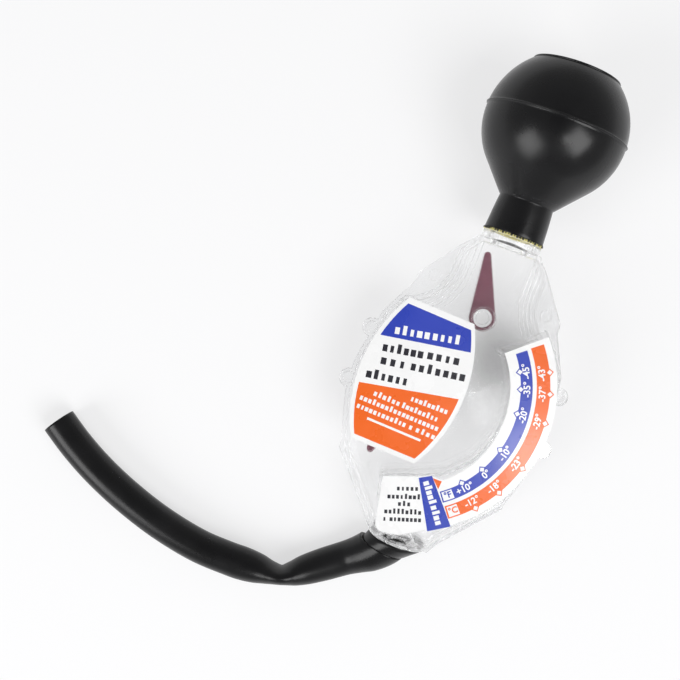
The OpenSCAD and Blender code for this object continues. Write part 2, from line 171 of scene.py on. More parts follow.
# Rows of such blocks on both labels, each from one point to another
HEAD_ROWS = (((-28.8, 18.8), (-17.8, 20.9)), ((-14.8, 21.5), (-6.6, 23)))
WORD_ROWS = (
    ((-30.8, 11.2), (-17.6, 13.4)),
    ((-14, 14.2), (-4.2, 15.7)),
    ((-29.6, 6.4), (-22.6, 7.4)),
    ((-18.4, 8.1), (0, 10.8)),
    ((-33, -0.2), (-19.4, 1.8)),
)
FINE_ROWS = (
    ((-14.4, -3.5), (-1, -3.6)),
    ((-28, -6.5), (-18.8, -7)),
    ((-16.6, -7.1), (-3.4, -7.5)),
    ((-32.4, -9.7), (-15.3, -10.3)),
    ((-13.7, -10.4), (-2, -10.8)),
    ((-32.4, -13), (-29.1, -13.1)),
    ((-27.4, -13.2), (-15.5, -13.6)),
    ((-13.9, -13.7), (-11.2, -13.8)),
    ((-8.4, -13.9), (-2.1, -14.2)),
)
CORNER_ROWS = (
    ((-7.4, -37.2), (-0.9, -34.9)),
    ((-9.6, -41.3), (1, -37.7)),
    ((-4.9, -42.6), (-1.6, -41.5)),
    ((-8.7, -47.1), (3.4, -43.1)),
    ((-8.2, -50), (-5.8, -49.2)),
    ((-4.4, -48.7), (4.4, -45.8)),
)
BAR_ROWS = (((2.1, -31.6), (6.6, -37.6)), ((8, -39.4), (11.6, -44.3)))

# Line below the fine rows, and two flat shapes of the scale label
RULE = ((-27.7, -16.5), (-6, -17.4))
RULE_WIDTH = 0.9
SCALE_BAR = ((-1.6, -30.9), (2.8, -28.4), (16.3, -44.1), (8.7, -49.0))
SCALE_CORNER = ((3.4, -29.1), (7, -29.1), (6.8, -32.4))

# Stage: half the floor, the middle of the view, and how far off and in which direction the large lamps are
FLOOR_HALF = 2
VIEW_MIDDLE = Vector((-0.03, -0.02, 0))
LAMP_REACH = 1.6
LAMPS = {"left lamp": (-0.534, -0.631, 0.55), "right lamp": (0.558, -0.225, 0.779)}

# Place on the scale where the small lamp shows: radius and angle, and the lamp's side
GLARE_SPOT = (50.5, -9)
GLARE_SIZE = 0.07


class RubberSettings(bpy.types.PropertyGroup):
    """Sizes and finish of the bulb and the hose."""

    bulb_diameter: FloatProperty(
        name="Bulb diameter",
        description="Outside diameter of the squeeze bulb",
        default=0.054,
        unit="LENGTH",
    )
    bulb_flat: FloatProperty(
        name="Bulb flat",
        description="Height of the bulb's flat end over its centre",
        default=0.0228,
        unit="LENGTH",
    )
    bulb_wall: FloatProperty(
        name="Bulb wall", description="Wall of the squeeze bulb", default=0.0024, unit="LENGTH"
    )
    hose_diameter: FloatProperty(
        name="Hose diameter", description="Outside diameter of the hose", default=0.013, unit="LENGTH"
    )
    hose_wall: FloatProperty(name="Hose wall", description="Wall of the hose", default=0.0022, unit="LENGTH")
    colour: FloatVectorProperty(
        name="Rubber colour",
        description="Colour of the black rubber",
        default=(0.004, 0.004, 0.0045),
        subtype="COLOR",
    )
    roughness: FloatProperty(
        name="Bulb roughness",
        description="How dull the bulb is",
        default=0.27,
        min=0,
        max=1,
        subtype="FACTOR",
    )
    hose_roughness: FloatProperty(
        name="Hose roughness",
        description="How dull hose and cuff are",
        default=0.31,
        min=0,
        max=1,
        subtype="FACTOR",
    )


class PrintSettings(bpy.types.PropertyGroup):
    """Inks and sizes of both labels."""

    white: FloatVectorProperty(
        name="White", description="Label vinyl", default=(0.86, 0.86, 0.86), subtype="COLOR"
    )
    blue: FloatVectorProperty(
        name="Blue", description="Blue ink", default=(0.018, 0.045, 0.42), subtype="COLOR"
    )
    orange: FloatVectorProperty(
        name="Orange", description="Orange ink", default=(0.82, 0.122, 0.002), subtype="COLOR"
    )
    dark: FloatVectorProperty(
        name="Dark", description="Dark ink", default=(0.012, 0.012, 0.02), subtype="COLOR"
    )
    number_height: FloatProperty(
        name="Number height",
        description="Height of the numbers on the scale",
        default=0.0025,
        unit="LENGTH",
    )


class ClearSettings(bpy.types.PropertyGroup):
    """Clear housing and the pieces inside."""

    clear: FloatVectorProperty(
        name="Clear plastic",
        description="Tint of the housing",
        default=(0.995, 0.997, 0.998),
        subtype="COLOR",
    )
    clear_roughness: FloatProperty(
        name="Clear roughness",
        description="How dull the housing is",
        default=0.03,
        min=0,
        max=1,
        subtype="FACTOR",
    )
    clear_edge: FloatProperty(
        name="Clear edges",
        description="Radius by which the housing's edges look rounded",
        default=0.0005,
        unit="LENGTH",
    )
    # Painted shadow: how much the colour of the chamber's floor is darkened
    painted_chamber_shadow: FloatProperty(
        name="Chamber shade",
        description="How much the floor of the chamber darkens",
        default=0.66,
        min=0,
        max=1,
        subtype="FACTOR",
    )
    maroon: FloatVectorProperty(
        name="Maroon",
        description="Colour of needle and pointer",
        default=(0.1, 0.018, 0.038),
        subtype="COLOR",
    )
    seal: FloatVectorProperty(
        name="Seal",
        description="Colour of the seal under the bulb",
        default=(0.62, 0.56, 0.2),
        subtype="COLOR",
    )
    bead_count: IntProperty(name="Beads", description="Lumps of glue round the seal", default=64, min=0)


class StageSettings(bpy.types.PropertyGroup):
    """Camera, floor and light."""

    camera_place: FloatVectorProperty(
        name="Camera",
        description="Place of the camera",
        default=(-0.0475, -0.0274, 0.405),
        subtype="XYZ",
        unit="LENGTH",
    )
    camera_roll: FloatProperty(
        name="Roll",
        description="Turn of the camera about its own line of sight",
        default=math.radians(20.46),
        subtype="ANGLE",
    )
    lens: FloatProperty(name="Lens", description="Focal length in millimetres", default=53.66)
    floor_colour: FloatVectorProperty(
        name="Floor", description="Colour of the pale floor", default=(0.93, 0.93, 0.94), subtype="COLOR"
    )
    floor_lift: FloatProperty(
        name="Floor lift",
        description="How much of the floor is plain background",
        default=0.67,
        min=0,
        max=1,
        subtype="FACTOR",
    )
    sky_side: FloatProperty(
        name="Sky at the sides", description="Strength of the light from the sides", default=0.56, min=0
    )
    sky_top: FloatProperty(
        name="Sky overhead", description="Strength of the light from above", default=0.17, min=0
    )
    lamp: FloatProperty(name="Lamps", description="Power of each large lamp in watts", default=14.6, min=0)
    lamp_size: FloatProperty(
        name="Lamp size", description="Side of each large lamp", default=0.9, unit="LENGTH"
    )
    glare: FloatProperty(
        name="Glare",
        description="Power of the small lamp that shows in the gloss of the scale",
        default=0.3,
        min=0,
    )


def add(tree, kind, inputs=None, **settings):
    """Places a node with its settings; each input gets a value or the output that feeds it."""
    node = tree.nodes.new(kind)
    for name, value in settings.items():
        setattr(node, name, value)
    for name, value in (inputs or {}).items():
        if isinstance(value, bpy.types.NodeSocket):
            tree.links.new(value, node.inputs[name])
        else:
            node.inputs[name].default_value = value
    return node


def maths(tree, operation, *values):
    """Output of a Math node over numbers and outputs."""
    return add(tree, "ShaderNodeMath", dict(enumerate(values)), operation=operation).outputs["Value"]


def vectors(tree, operation, output, *values):
    """Named output of a Vector Math node over vectors and outputs."""
    return add(tree, "ShaderNodeVectorMath", dict(enumerate(values)), operation=operation).outputs[output]


def ranged(tree, value, low, high, ease="LINEAR"):
    """A value spread from 0 at one end of a range to 1 at the other."""
    inputs = {"Value": value, "From Min": low, "From Max": high}
    return add(tree, "ShaderNodeMapRange", inputs, interpolation_type=ease).outputs["Result"]


def material(name, colour):
    """A new material with its tree and its Principled shader."""
    made = bpy.data.materials.new(name)
    made.use_nodes = True
    made.diffuse_color = (*colour, 1)
    shader = made.node_tree.nodes["Principled BSDF"]
    shader.inputs["Base Color"].default_value = (*colour, 1)
    return made, made.node_tree, shader


def surface_group():
    """Shader group: uneven gloss and fine relief of a moulded surface, at a named grain."""
    name = "moulded surface"
    if name in bpy.data.node_groups:
        return bpy.data.node_groups[name]
    group = bpy.data.node_groups.new(name, "ShaderNodeTree")
    face = group.interface
    for label, value in (("Grain", 900.0), ("Patches", 60.0), ("Roughness", 0.4), ("Unevenness", 0.1)):
        face.new_socket(label, in_out="INPUT", socket_type="NodeSocketFloat").default_value = value
    for label in ("Patch Mask", "Roughness", "Height"):
        face.new_socket(label, in_out="OUTPUT", socket_type="NodeSocketFloat")
    start = add(group, "NodeGroupInput").outputs
    place = add(group, "ShaderNodeTexCoord").outputs["Object"]
    grain = add(group, "ShaderNodeTexNoise", {"Vector": place, "Scale": start["Grain"], "Detail": 3})
    patches = add(group, "ShaderNodeTexNoise", {"Vector": place, "Scale": start["Patches"], "Detail": 4})
    mask = ranged(group, patches.outputs["Fac"], 0.3, 0.7)
    centred = maths(group, "SUBTRACT", mask, 0.5)
    swing = maths(group, "MULTIPLY_ADD", centred, start["Unevenness"], start["Roughness"])
    add(group, "NodeGroupOutput", {"Patch Mask": mask, "Roughness": swing, "Height": grain.outputs["Fac"]})
    return group


def give_surface(tree, shader, roughness, grain, patches, unevenness, relief):
    """Wires the moulded surface to a shader; returns the mask of its patches and the bump node."""
    values = {"Grain": grain, "Patches": patches, "Roughness": roughness, "Unevenness": unevenness}
    place = add(tree, "ShaderNodeGroup", values, node_tree=surface_group())
    bump = add(tree, "ShaderNodeBump", {"Distance": relief, "Height": place.outputs["Height"]})
    tree.links.new(place.outputs["Roughness"], shader.inputs["Roughness"])
    tree.links.new(bump.outputs["Normal"], shader.inputs["Normal"])
    return place.outputs["Patch Mask"], bump


def tone(tree, shader, mask, low, high):
    """Base colour that moves between two tones with a mask."""
    mix = add(tree, "ShaderNodeMix", {"Factor": mask, "A": (*low, 1), "B": (*high, 1)}, data_type="RGBA")
    tree.links.new(mix.outputs["Result"], shader.inputs["Base Color"])


def painted_shadow_mask(tree):
    """Painted shadow on the chamber's floor: a soft spot beside the scale's head, and a slow rise to it."""
    spot_share = 0.55
    rise_share = 0.45
    coords = add(tree, "ShaderNodeTexCoord").outputs["Object"]
    away = vectors(tree, "DISTANCE", "Value", coords, PAINTED_SHADOW_SPOT)
    spot = ranged(tree, away, 0.021, 0.002, "SMOOTHSTEP")
    rise = ranged(tree, away, 0.045, 0.005, "SMOOTHSTEP")
    return maths(tree, "MULTIPLY_ADD", rise, rise_share, maths(tree, "MULTIPLY", spot, spot_share))


def painted_neck_shade_mask(tree):
    """Mask of a painted shade: the dark bow where the front wall turns up into the neck."""
    bend = 9.8
    reach = 0.0095
    half_width = 0.00055
    soft_edge = 0.0002
    coords = add(tree, "ShaderNodeTexCoord").outputs["Object"]
    place = vectors(tree, "SUBTRACT", "Vector", coords, PAINTED_BOW_MIDDLE)
    across, along, out = [vectors(tree, "DOT_PRODUCT", "Value", place, axis) for axis in (ACROSS, ALONG, OUT)]
    square = maths(tree, "POWER", across, 2)
    line = maths(tree, "ABSOLUTE", maths(tree, "MULTIPLY_ADD", square, bend, along))
    width = maths(tree, "MULTIPLY", ranged(tree, square, reach**2, 0), half_width)
    edge = ranged(tree, maths(tree, "SUBTRACT", width, line), 0, soft_edge)
    return maths(tree, "MULTIPLY", edge, ranged(tree, out, -0.006, -0.004))


def clear_plastic(name, settings, mask, shade):
    """Polished clear moulding that lets most light through, with painted shade where its mask says so."""
    made, tree, shader = material(name, settings.clear)
    roughness = settings.clear_roughness
    bump = give_surface(tree, shader, roughness, grain=260, patches=30, unevenness=0.02, relief=0.000012)[1]
    soften = add(tree, "ShaderNodeBevel", {"Radius": settings.clear_edge}, samples=4)
    tree.links.new(soften.outputs["Normal"], bump.inputs["Normal"])
    shader.inputs["Transmission Weight"].default_value = 1
    shader.inputs["IOR"].default_value = CLEAR_IOR
    # Base colour darkened by the painted shade where the mask is on
    tone(tree, shader, mask(tree), settings.clear, [c * (1 - shade) for c in settings.clear])
    passing = add(tree, "ShaderNodeBsdfTransparent", {"Color": (*PASSING_TINT, 1)})
    path = add(tree, "ShaderNodeLightPath").outputs
    lit = maths(tree, "MAXIMUM", path["Is Shadow Ray"], path["Is Diffuse Ray"])
    share = maths(tree, "MAXIMUM", lit, PASSING_SHARE)
    blend_shaders(tree, share, shader, passing)
    return made


def blend_shaders(tree, share, first, second):
    """Surface made of two shaders, with the second one's share."""
    values = {"Fac": share, 1: first.outputs[0], 2: second.outputs[0]}
    blend = add(tree, "ShaderNodeMixShader", values)
    tree.links.new(blend.outputs["Shader"], tree.nodes["Material Output"].inputs["Surface"])


def patchy(name, colour, second, roughness, sockets=None, **surface):
    """Opaque finish with fine relief, uneven gloss and patches of a second tone."""
    made, tree, shader = material(name, colour)
    mask = give_surface(tree, shader, roughness, **surface)[0]
    tone(tree, shader, mask, colour, second)
    for socket, value in (sockets or {}).items():
        shader.inputs[socket].default_value = value
    return made


def black_rubber(name, settings, roughness):
    """Satin black rubber with a little mould bloom."""
    bloom = [c * 1.6 + 0.001 for c in settings.colour]
    surface = {"grain": 1400, "patches": 55, "unevenness": 0.12, "relief": 0.00002}
    return patchy(name, settings.colour, bloom, roughness, {"Specular IOR Level": 0.31}, **surface)


def plain_plastic(name, colour, roughness):
    """Moulded opaque plastic with slightly uneven colour and gloss."""
    lighter = [min(1, c * 1.25) for c in colour]
    surface = {"grain": 1100, "patches": 120, "unevenness": 0.1, "relief": 0.00001}
    return patchy(name, colour, lighter, roughness, **surface)


def print_ink(name, colour):
    """Glossy print on vinyl."""
    lighter = [min(1, c * 1.04 + 0.003) for c in colour]
    gloss = {"Coat Weight": 0.4, "Coat Roughness": 0.12}
    surface = {"grain": 700, "patches": 90, "unevenness": 0.08, "relief": 0.000006}
    return patchy(name, colour, lighter, 0.28, gloss, **surface)


def metal(name, colour, roughness):
    """Turned metal."""
    darker = [c * 0.85 for c in colour]
    surface = {"grain": 1800, "patches": 200, "unevenness": 0.15, "relief": 0.000008}
    return patchy(name, colour, darker, roughness, {"Metallic": 1}, **surface)


def piece(name, mesh, finish, body="housing", smooth=False):
    """Links a finished mesh as a named piece that moves with a body."""
    made = bpy.data.objects.new(name, mesh)
    bpy.context.scene.collection.objects.link(made)
    if finish:
        mesh.materials.clear()
        mesh.materials.append(finish)
    for polygon in mesh.polygons:
        polygon.use_smooth = smooth
    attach(made, body)
    return made


def dress(node, finish):
    """Gives a carried-over piece its finish."""
    mesh = frame["nodes"][node].data
    mesh.materials.clear()
    mesh.materials.append(finish)


def polar(radius, degrees):
    """A point in the housing's axes, counted from the dial's centre."""
    angle = math.radians(degrees)
    return (DIAL_X + radius * math.cos(angle), radius * math.sin(angle))


def arc(radius, start, end, count):
    """Points along an arc about the dial's centre."""
    return [polar(radius, start + (end - start) * i / count) for i in range(count + 1)]


def sector(inner, outer, start, end, count=48):
    """Closed outline of a band about the dial's centre."""
    return arc(inner, start, end, count) + arc(outer, end, start, count)


def finished(name, build, placement=None):
    """Plain mesh from a build, with its faces pointing outwards."""
    bmesh.ops.recalc_face_normals(build, faces=build.faces)
    if placement:
        build.transform(placement)
    mesh = bpy.data.meshes.new(name)
    build.to_mesh(mesh)
    build.free()
    return mesh


def prisms(name, outlines, low, high, finish):
    """Piece of upright prisms over closed outlines in the housing's axes."""
    build = bmesh.new()
    for outline in outlines:
        base = [build.verts.new((x, y, low)) for x, y in outline]
        top = [build.verts.new((x, y, high)) for x, y in outline]
        build.faces.new(base[::-1])
        build.faces.new(top)
        for i in range(len(outline)):
            j = (i + 1) % len(outline)
            build.faces.new((base[i], base[j], top[j], top[i]))
    return piece(name, finished(name, build, LAY), finish)


def ring(centre, heading, width, height, count=HOSE_SIDES):
    """Points round a ring across a heading, from half sizes in millimetres to the side and up."""
    side = heading.cross(UP).normalized()
    rise = side.cross(heading)
    turns = [2 * math.pi * k / count for k in range(count)]
    return [centre + (side * width * math.cos(t) + rise * height * math.sin(t)) * mm for t in turns]


def skin(name, rings):
    """Closed mesh through rings of points and back to the first; a ring of one point is a pole."""
    build = bmesh.new()
    rows = [[build.verts.new(point) for point in points] for points in rings]
    for a, b in zip(rows, rows[1:] + rows[:1]):
        count = max(len(a), len(b))
        if count == 1:
            continue
        for i in range(count):
            j = (i + 1) % count
            corners = [a[0]] if len(a) == 1 else [a[i], a[j]]
            corners += [b[0]] if len(b) == 1 else [b[j], b[i]]
            build.faces.new(corners)
    return finished(name, build)


def grow_tree(name, inputs, make):
    """Geometry tree with named inputs, made once, that ends in Realize Instances and Set Material."""
    if name in bpy.data.node_groups:
        return bpy.data.node_groups[name]
    tree = bpy.data.node_groups.new(name, "GeometryNodeTree")
    face = tree.interface
    face.new_socket("Geometry", in_out="INPUT", socket_type="NodeSocketGeometry")
    for label, value in inputs.items():
        kind = "NodeSocketInt" if isinstance(value, int) else "NodeSocketFloat"
        face.new_socket(label, in_out="INPUT", socket_type=kind).default_value = value
    face.new_socket("Material", in_out="INPUT", socket_type="NodeSocketMaterial")
    face.new_socket("Geometry", in_out="OUTPUT", socket_type="NodeSocketGeometry")
    start = add(tree, "NodeGroupInput").outputs
    real = add(tree, "GeometryNodeRealizeInstances", {"Geometry": make(tree, start)})
    values = {"Geometry": real.outputs["Geometry"], "Material": start["Material"]}
    coated = add(tree, "GeometryNodeSetMaterial", values)
    add(tree, "NodeGroupOutput", {"Geometry": coated.outputs["Geometry"]})
    return tree


def turned_copies(tree, points, shape, choice=None):
    """Copies of a shape on points, each turned by its point's own angle, or one of a choice of shapes."""
    angle = add(tree, "GeometryNodeInputNamedAttribute", {"Name": "turn"}, data_type="FLOAT")
    turn = add(tree, "ShaderNodeCombineXYZ", {"Z": angle.outputs["Attribute"]})
    values = {"Points": points, "Instance": shape, "Rotation": turn.outputs["Vector"]}
    if choice:
        values |= {"Pick Instance": True, "Instance Index": choice}
    return add(tree, "GeometryNodeInstanceOnPoints", values).outputs["Instances"]


def diamonds(tree, start):
    """Four-sided prisms on points."""
    values = {"Vertices": 4, "Radius": start["Half Width"], "Depth": start["Thickness"]}
    prism = add(tree, "GeometryNodeMeshCylinder", values)
    return turned_copies(tree, start["Geometry"], prism.outputs["Mesh"])


def block_rows(tree, start):
    """Plain blocks at an even spacing along the edges of a mesh, each one of a pool of shapes."""
    pool = add(tree, "GeometryNodeJoinGeometry")
    for width, height in BLOCKS:
        shares = (width, height, (height - 1) / 2)
        x, y, shift = [maths(tree, "MULTIPLY", start["Height"], share) for share in shares]
        size = add(tree, "ShaderNodeCombineXYZ", {"X": x, "Y": y, "Z": start["Thickness"]})
        move = add(tree, "ShaderNodeCombineXYZ", {"Y": shift})
        cube = add(tree, "GeometryNodeMeshCube", {"Size": size.outputs["Vector"]})
        values = {"Geometry": cube.outputs["Mesh"], "Translation": move.outputs["Vector"]}
        moved = add(tree, "GeometryNodeTransform", values)
        whole = add(tree, "GeometryNodeGeometryToInstance", {"Geometry": moved.outputs["Geometry"]})
        tree.links.new(whole.outputs["Instances"], pool.inputs["Geometry"])
    line = add(tree, "GeometryNodeMeshToCurve", {"Mesh": start["Geometry"]})
    values = {"Curve": line.outputs["Curve"], "Length": start["Spacing"]}
    spread = add(tree, "GeometryNodeResampleCurve", values, mode="LENGTH")
    values = {"Min": 0, "Max": len(BLOCKS) - 1, "Seed": start["Seed"]}
    choice = add(tree, "FunctionNodeRandomValue", values, data_type="INT")
    return turned_copies(tree, spread.outputs["Curve"], pool.outputs["Geometry"], choice.outputs["Value"])


def beads(tree, start):
    """Uneven lumps round a ring."""
    circle = add(tree, "GeometryNodeCurvePrimitiveCircle", {"Radius": start["Radius"]})
    values = {"Curve": circle.outputs["Curve"], "Count": start["Count"]}
    points = add(tree, "GeometryNodeCurveToPoints", values)
    lump = add(tree, "GeometryNodeMeshIcoSphere", {"Radius": start["Lump"], "Subdivisions": 2})
    sizes = add(tree, "FunctionNodeRandomValue", {"Min": 0.5, "Max": 1.3, "Seed": 7}, data_type="FLOAT")
    values = {"Points": points.outputs["Points"], "Instance": lump.outputs["Mesh"]}
    values["Scale"] = sizes.outputs["Value"]
    return add(tree, "GeometryNodeInstanceOnPoints", values).outputs["Instances"]


def source_mesh(name, points, turns=(), edges=()):
    """Source mesh of loose points or edges, with an angle on each point."""
    mesh = bpy.data.meshes.new(name)
    mesh.from_pydata(points, edges, [])
    if turns:
        mesh.attributes.new("turn", "FLOAT", "POINT").data.foreach_set("value", turns)
    return mesh


def as_mesh(name, data, placement, dressing=None):
    """Plain, placed mesh of a text or a source mesh, once its modifiers are set by a function."""
    carrier = bpy.data.objects.new(name + " source", data)
    bpy.context.scene.collection.objects.link(carrier)
    if dressing:
        dressing(carrier)
    bpy.context.view_layer.update()
    ready = carrier.evaluated_get(bpy.context.evaluated_depsgraph_get())
    mesh = bpy.data.meshes.new_from_object(ready)
    mesh.name = name
    carrier.modifiers.clear()
    bpy.data.objects.remove(carrier)
    mesh.transform(placement)
    return mesh


def grown(name, tree, source, values, finish, placement, smooth=False):
    """Piece that a geometry tree grows from a source mesh."""

    def grow(carrier):
        """Sets the tree's inputs by their identifiers."""
        modifier = carrier.modifiers.new("grow", "NODES")
        modifier.node_group = tree
        sockets = {s.name: s.identifier for s in tree.interface.items_tree if s.in_out == "INPUT"}
        for label, value in values.items():
            modifier[sockets[label]] = value
        modifier[sockets["Material"]] = finish

    return piece(name, as_mesh(name, source, placement, grow), None, smooth=smooth)


def blocks(name, rows, level, finish, height, spacing=0.74, seed=1):
    """Piece of plain blocks in rows between pairs of points, in place of words."""
    points = [(x, y, 0) for row in rows for x, y in row]
    edges = [(2 * i, 2 * i + 1) for i in range(len(rows))]
    turns = [math.atan2(b[1] - a[1], b[0] - a[0]) for a, b in rows for _ in (a, b)]
    inputs = {"Height": 2.0, "Spacing": 1.5, "Thickness": 0.04, "Seed": 1}
    values = {"Height": height, "Spacing": height * spacing, "Thickness": 2 * INK, "Seed": seed}
    tree = grow_tree("printed blocks", inputs, block_rows)
    source = source_mesh(name + " rows", points, turns, edges)
    return grown(name, tree, source, values, finish, LAY @ Matrix.Translation((0, 0, level)))


def lettering(name, texts, level, finish):
    """Piece of printed numbers: text, place, turn and size of each, in the housing's axes."""
    joined = bmesh.new()
    for text, (x, y), turn, size in texts:
        curve = bpy.data.curves.new(name + " text", "FONT")
        curve.body = text
        curve.size = size
        curve.extrude = INK
        curve.align_x = "CENTER"
        curve.align_y = "CENTER"
        curve.resolution_u = 3
        curve.offset = BOLDER * size
        place = Matrix.Translation((x, y, level)) @ Matrix.Rotation(turn, 4, "Z")
        joined.from_mesh(as_mesh(name + " text", curve, place))
    bmesh.ops.remove_doubles(joined, verts=joined.verts, dist=0.0005)
    return piece(name, finished(name, joined, LAY), finish)


class HYDROMETER_OT_housing(bpy.types.Operator):
    """Clear housing halves, the seal under the bulb and its glue"""

    bl_idname = "hydrometer.housing"
    bl_label = "Housing"

    def execute(self, context):
        settings = context.scene.hydrometer_clear
        shade = settings.painted_chamber_shadow
        # Front shell: painted shade along the neck's bow; rear shell: painted shadow on the chamber's floor
        dress("front_shell", clear_plastic("clear plastic", settings, painted_neck_shade_mask, PAINTED_BOW_DARKNESS))
        dress("rear_shell", clear_plastic("clear plastic with painted shadow", settings, painted_shadow_mask, shade))
        dress("neck_seal", plain_plastic("seal rubber", settings.seal, roughness=0.55))
        glue = plain_plastic("dark glue", (0.01, 0.01, 0.008), roughness=0.4)
        around = LAY @ Matrix.Translation((0, GLUE_LINE, 0)) @ Matrix.Rotation(math.pi / 2, 4, "X")
        tree = grow_tree("glue beads", {"Radius": 11.6, "Count": 90, "Lump": 0.3}, beads)
        values = {"Radius": 11.45, "Count": settings.bead_count, "Lump": 0.5}
        source = source_mesh("ring", [(0, 0, 0)])
        grown("seal_beads", tree, source, values, glue, around, smooth=True)
        return {"FINISHED"}


class HYDROMETER_OT_needles(bpy.types.Operator):
    """Level needle, float pointer, its weight and its axle"""

    bl_idname = "hydrometer.needles"
    bl_label = "Needles"

    def execute(self, context):
        maroon = plain_plastic("maroon plastic", context.scene.hydrometer_clear.maroon, roughness=0.35)
        dress("level_needle", maroon)
        dress("float_pointer", maroon)
        dress("pointer_weight", metal("turned brass", (0.68, 0.5, 0.24), roughness=0.3))
        dress("pointer_axle", metal("drawn steel", (0.6, 0.6, 0.62), roughness=0.25))
        return {"FINISHED"}


def bulb_profile(radius, flat, wall):
    """Outline of the squeeze bulb in millimetres, from the seal up: radius and height."""
    bore = 9.06
    neck = 13.4
    waist = 10.55
    slope = math.radians(42)
    centre = neck + (radius - waist * math.cos(slope)) / math.sin(slope)
    edge = 15.8
    tall = flat / math.sqrt(1 - (edge / radius) ** 2)

    def ball(width, height, start, end, count):
        """Arc of the ball, drawn out to a height, between two angles."""
        angles = [start + (end - start) * i / count for i in range(count + 1)]
        return [(width * math.cos(a), centre + height * math.sin(a)) for a in angles]

    # Neck with its lower lip, and the groove where it widens
    outside = [(bore, 0), (11.1, 0), (11.4, 0.1), (11.48, 0.45), (11.4, 1.6), (11.05, 7), (10.62, 12)]
    outside += [(10.5, neck - 0.5), (10.5, neck - 0.2), (10.62, neck + 0.02), (10.95, neck + 0.3)]

    # Cone up to the ball
    x, y = outside[-1]
    reach = (radius * math.cos(slope), centre - radius * math.sin(slope))
    outside += [(x + (reach[0] - x) * t, y + (reach[1] - y) * t) for t in (0.3, 0.65)]

    # Ball with the parting lip round its middle
    lip = math.asin(1.7 / radius)
    outside += ball(radius, radius, -slope, lip - 0.02, 26)
    for out, up in ((0.1, 1.3), (0.42, 1.5), (0.48, 1.7), (0.36, 1.84), (0.04, 1.98)):
        outside.append((radius + out, centre + up))

    # Crown and the rim of its flat end
    rim = math.asin((flat - 0.65) / tall)
    crown = radius * math.cos(rim)
    outside += ball(radius, tall, lip + 0.02, rim, 24)
    for out, up in ((0.2, -0.55), (0.22, -0.35), (0.05, -0.1), (-0.2, 0), (-0.7, 0), (-0.9, -0.1)):
        outside.append((crown + out, centre + flat + up))
    outside += [(crown * 0.6, centre + flat - 0.12), (0, centre + flat - 0.2)]

    # Hollow
    inner = radius - wall
    inside = ball(inner, inner, math.asin((flat - wall) / inner), -math.acos(bore / inner), 24)
    return outside + [(0, centre + flat - wall)] + inside


class HYDROMETER_OT_bulb(bpy.types.Operator):
    """Black rubber squeeze bulb with its moulding line"""

    bl_idname = "hydrometer.bulb"
    bl_label = "Squeeze Bulb"

    def execute(self, context):
        settings = context.scene.hydrometer_rubber
        sizes = (settings.bulb_diameter / 2, settings.bulb_flat, settings.bulb_wall)
        rings = []
        for radius, height in bulb_profile(*[size / mm for size in sizes]):
            centre = LAY @ Vector((0, SEAL_TOP + height, 0))
            rings.append(ring(centre, ALONG, radius, radius, BULB_SIDES) if radius else [centre])
        finish = black_rubber("bulb rubber", settings, settings.roughness)
        bulb = piece("bulb_rubber", skin("bulb_rubber", rings), finish, smooth=True)
        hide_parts("squeeze_bulb")
        return {"FINISHED"}


def eased(rows, steps):
    """Rows of numbers with steps - 1 more rows eased in between each pair."""
    rows = [Vector(row) for row in rows]
    ends = [rows[0], *rows, rows[-1]]
    out = []
    for before, a, b, after in zip(ends, ends[1:], ends[2:], ends[3:]):
        for k in range(steps):
            t = k / steps
            line = 2 * a + (b - before) * t
            bend = (2 * before - 5 * a + 4 * b - after) * t * t
            twist = (3 * a - before - 3 * b + after) * t**3
            out.append(0.5 * (line + bend + twist))
    return [*out, rows[-1]]


def hose_rings(centres, sizes, start, inset=0):
    """Rings of points across a lying hose that leaves along a start heading, set in by a wall."""
    rings = []
    last = len(centres) - 1
    for i, (centre, (width, height)) in enumerate(zip(centres, sizes)):
        onward = (centres[min(i + 1, last)] - centres[max(i - 1, 0)]).normalized()
        heading = start.lerp(onward, min(1, i / EASED_STEPS)).normalized()
        rings.append(ring(centre, heading, width - inset, height - inset))
    return rings


class HYDROMETER_OT_hose(bpy.types.Operator):
    """Cuff on the bottom nipple and the free hose on the table"""

    bl_idname = "hydrometer.hose"
    bl_label = "Hose"

    def execute(self, context):
        settings = context.scene.hydrometer_rubber
        finish = black_rubber("hose rubber", settings, settings.hose_roughness)
        wall = settings.hose_wall / mm
        fold = LAY @ Vector(FOLD)
        heading = (ALONG * -math.cos(FOLD_TURN) - ACROSS * math.sin(FOLD_TURN)).normalized()
        start = (fold.x / mm, (fold.y - MIDDLE.y) / mm, fold.z / mm, CUFF_END, CUFF_END)
        route = eased([start, *HOSE_ROUTE], ROUTE_STEPS)
        centres = [Vector((r[0] * mm, r[1] * mm + MIDDLE.y, r[2] * mm)) for r in route]
        sizes = [(r[3], r[4]) for r in route]
        outer = hose_rings(centres, sizes, heading)
        inner = hose_rings(centres, sizes, heading, inset=wall)
        edges = (0.12, 0.88)
        cut = [[a.lerp(b, t) for a, b in zip(outer[-1], inner[-1])] for t in edges]
        mesh = skin("hose_rubber", outer + cut + inner[::-1])
        hose = piece("hose_rubber", mesh, finish, smooth=True)
        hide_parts("pickup_hose")
        self.cuff(finish, heading, wall)
        return {"FINISHED"}

    def cuff(self, finish, heading, wall):
        """The widened end up to the fold: shares of the way there, and the radius at each."""
        start = LAY @ Vector((0, FOOT, 0))
        end = LAY @ Vector(FOLD)
        outline = [(0, 10.3), (0.03, 10.65), (0.12, 10.8), (0.4, 10.1), (0.75, 9.3), (0.93, 8.85), (1, 8.6)]
        outline += [(1, 8.6 - wall), (0.5, 7.2), (0, 6.4)]
        rings = []
        for share, radius in outline:
            direction = (-ALONG).lerp(heading, share).normalized()
            rings.append(ring(start.lerp(end, share), direction, radius, radius))
        cuff = piece("cuff_rubber", skin("cuff_rubber", rings), finish, smooth=True)
        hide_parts("hose_cuff")


